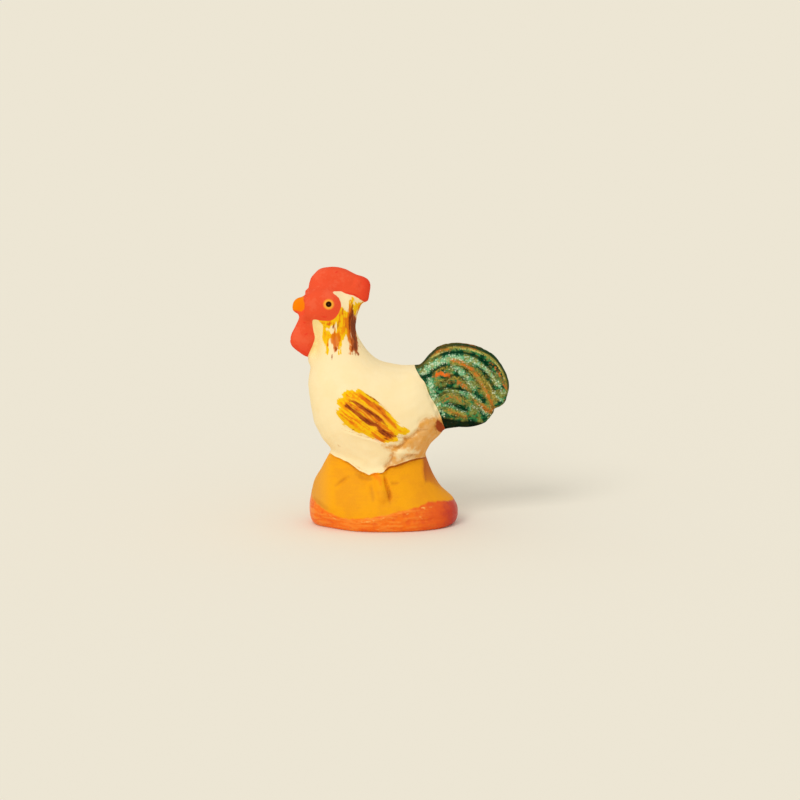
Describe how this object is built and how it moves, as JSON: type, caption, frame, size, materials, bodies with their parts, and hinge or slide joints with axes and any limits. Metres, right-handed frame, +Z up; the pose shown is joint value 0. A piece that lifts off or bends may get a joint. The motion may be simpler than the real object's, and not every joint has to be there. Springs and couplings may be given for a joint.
{
  "type": "clay rooster figurine",
  "caption": "Small painted clay rooster standing on a rounded clay mound, with comb, wattles, beak, bead eyes, raised wings, legs and a fanned tail of curved feathers.",
  "frame": {"origin": "centre of the mound's flat underside", "axes": "+X towards the tail (the beak points to -X), +Y towards the bird's right side, +Z up"},
  "size_m": [0.0333, 0.015, 0.0399],
  "materials": {
    "mound_paint": "satin ochre paint on fired clay, orange towards the foot",
    "body_paint": "matte cream paint on fired clay",
    "wing_paint": "matte yellow and brown brush strokes on fired clay",
    "comb_paint": "matte red paint on fired clay",
    "eye_paint": "satin yellow paint with a dark pupil",
    "beak_paint": "satin orange paint on fired clay",
    "tail_paint": "glossy green paint with copper brush strokes on fired clay"
  },
  "bodies": {
    "root": {"mound": "mound_paint", "left_leg": "mound_paint", "right_leg": "mound_paint", "body": "body_paint", "left_wing": "wing_paint", "right_wing": "wing_paint", "comb": "comb_paint", "left_face_pad": "comb_paint", "right_face_pad": "comb_paint", "left_wattle": "comb_paint", "right_wattle": "comb_paint", "left_eye": "eye_paint", "right_eye": "eye_paint", "beak": "beak_paint", "tail_outer_sickle": "tail_paint", "tail_second_sickle": "tail_paint", "tail_third_sickle": "tail_paint", "tail_upper_covert": "tail_paint", "tail_middle_covert": "tail_paint", "tail_lower_covert": "tail_paint", "tail_under_feather": "tail_paint"}
  },
  "joints": []
}
